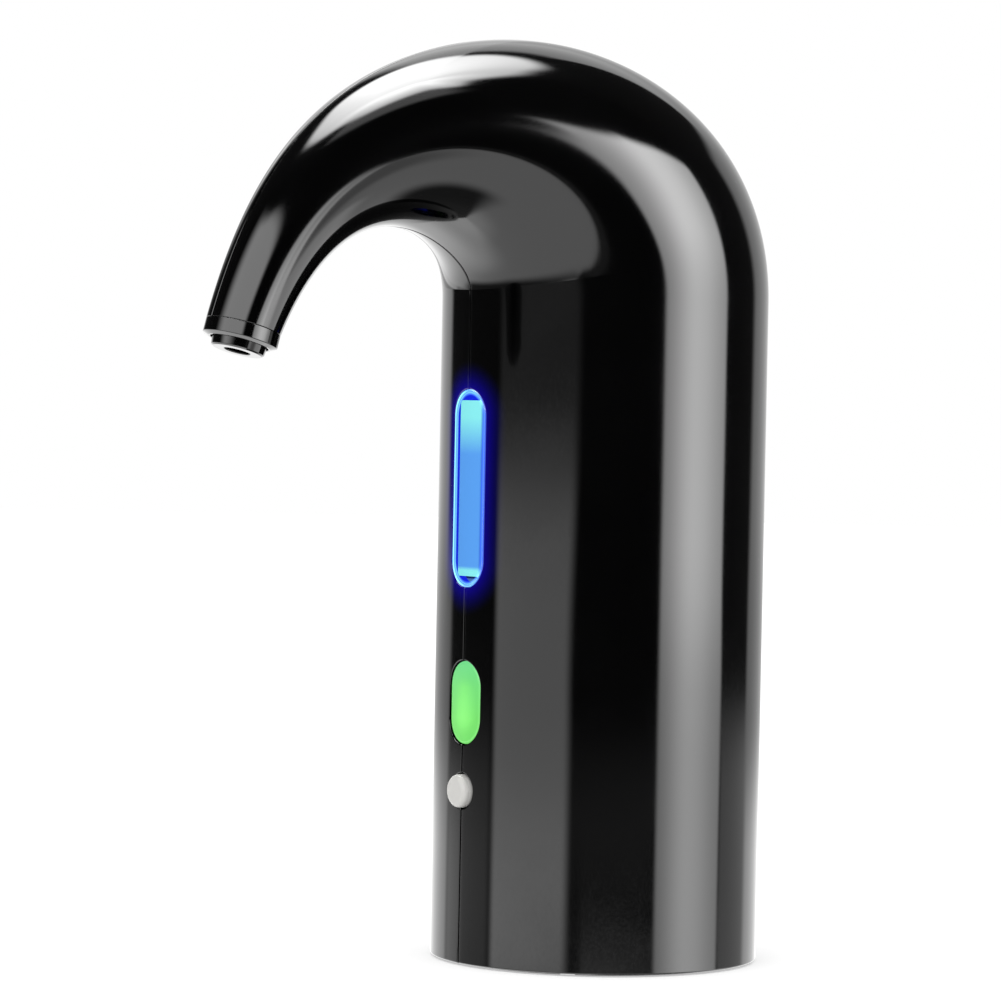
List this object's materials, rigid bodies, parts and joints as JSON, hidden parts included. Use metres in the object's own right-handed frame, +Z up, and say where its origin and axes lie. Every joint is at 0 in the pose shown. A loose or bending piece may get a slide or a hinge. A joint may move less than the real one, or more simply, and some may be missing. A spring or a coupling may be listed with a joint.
{
  "type": "electric wine dispenser",
  "caption": "Gooseneck electric wine dispenser that stands on a bottle's neck: gloss shell, lit sight window, dispense and mode buttons, air pump and wine hose inside.",
  "frame": {"origin": "centre of the bottle socket's mouth, on the body's axis and on the table", "axes": "+Z up along the body, -Y to the front where the spout, window and buttons are, +X to the viewer's right when facing the front"},
  "size_m": [0.062, 0.1186, 0.1732],
  "materials": {
    "gloss_black": "piano gloss",
    "matte_black": "fine matt",
    "dark_plastic": "matt",
    "clear": "clear polished",
    "sight_clear": "clear, lit blue",
    "button_green": "translucent, lit",
    "button_grey": "satin",
    "light_plastic": "matt",
    "white_plastic": "matt",
    "board": "solder mask",
    "board_white": "white solder mask",
    "blue_led": "lens",
    "green_led": "lens",
    "chip": "moulded",
    "rubber_dark": "soft",
    "silicone": "translucent",
    "steel": "plated",
    "core_steel": "laminated",
    "magnet": "sintered",
    "bronze": "sintered",
    "copper": "enamelled",
    "cell": "foil pouch",
    "lead_red": "insulation",
    "lead_dark": "insulation"
  },
  "bodies": {
    "housing": {"shell_right": "gloss_black", "shell_left": "gloss_black", "base_cover": "matte_black", "base_screws": "steel", "nozzle_ring": "gloss_black", "outlet_tip": "dark_plastic", "window_lens": "clear", "sight_tube": "sight_clear", "led_board": "board_white", "blue_leds": "blue_led", "led_screws": "steel", "control_board": "board", "control_screws": "steel", "control_chip": "chip", "dispense_switch": "chip", "green_leds": "green_led", "mode_switch": "chip", "bottle_stopper": "silicone", "bottle_fitting": "white_plastic", "fitting_screws": "steel", "chassis": "light_plastic", "chassis_screws": "steel", "battery_cell": "cell", "battery_tape": "rubber_dark", "charge_board": "board", "charge_screws": "steel", "usb_shell": "steel", "usb_tongue": "chip", "motor_can": "steel", "motor_cap": "dark_plastic", "motor_magnets": "magnet", "motor_bushes": "bronze", "motor_brushes": "copper", "motor_sleeve": "rubber_dark", "motor_screws": "steel", "pump_housing": "dark_plastic", "wobble_plate": "white_plastic", "pump_cylinder": "light_plastic", "diaphragm": "rubber_dark", "valve_plate": "light_plastic", "valve_flap": "rubber_dark", "pump_cover": "light_plastic", "pump_screws": "steel", "air_hose": "silicone", "wine_hose_lower": "silicone", "wine_hose_upper": "silicone", "battery_leads": "lead_red", "power_leads": "lead_red", "led_leads": "lead_dark", "motor_leads": "lead_dark"},
    "dispense": {"dispense_button": "button_green", "dispense_plunger": "white_plastic"},
    "mode": {"mode_button": "button_grey", "mode_plunger": "white_plastic"},
    "rotor": {"rotor_shaft": "steel", "armature": "core_steel", "armature_coils": "copper", "commutator": "copper", "eccentric": "white_plastic", "eccentric_pin": "steel"}
  },
  "joints": [
    {"name": "dispense_press", "type": "slide", "parent": "housing", "child": "dispense", "axis": [0, 1, 0], "range_m": [0, 0.0006], "stiffness_N_per_m": 1200, "springref_m": -0.0005},
    {"name": "mode_press", "type": "slide", "parent": "housing", "child": "mode", "axis": [0, 1, 0], "range_m": [0, 0.0006], "stiffness_N_per_m": 1200, "springref_m": -0.0005},
    {"name": "rotor_spin", "type": "hinge", "parent": "housing", "child": "rotor", "pos_m": [0, 0.0072, 0.104], "axis": [0, 0, 1], "continuous": true}
  ]
}
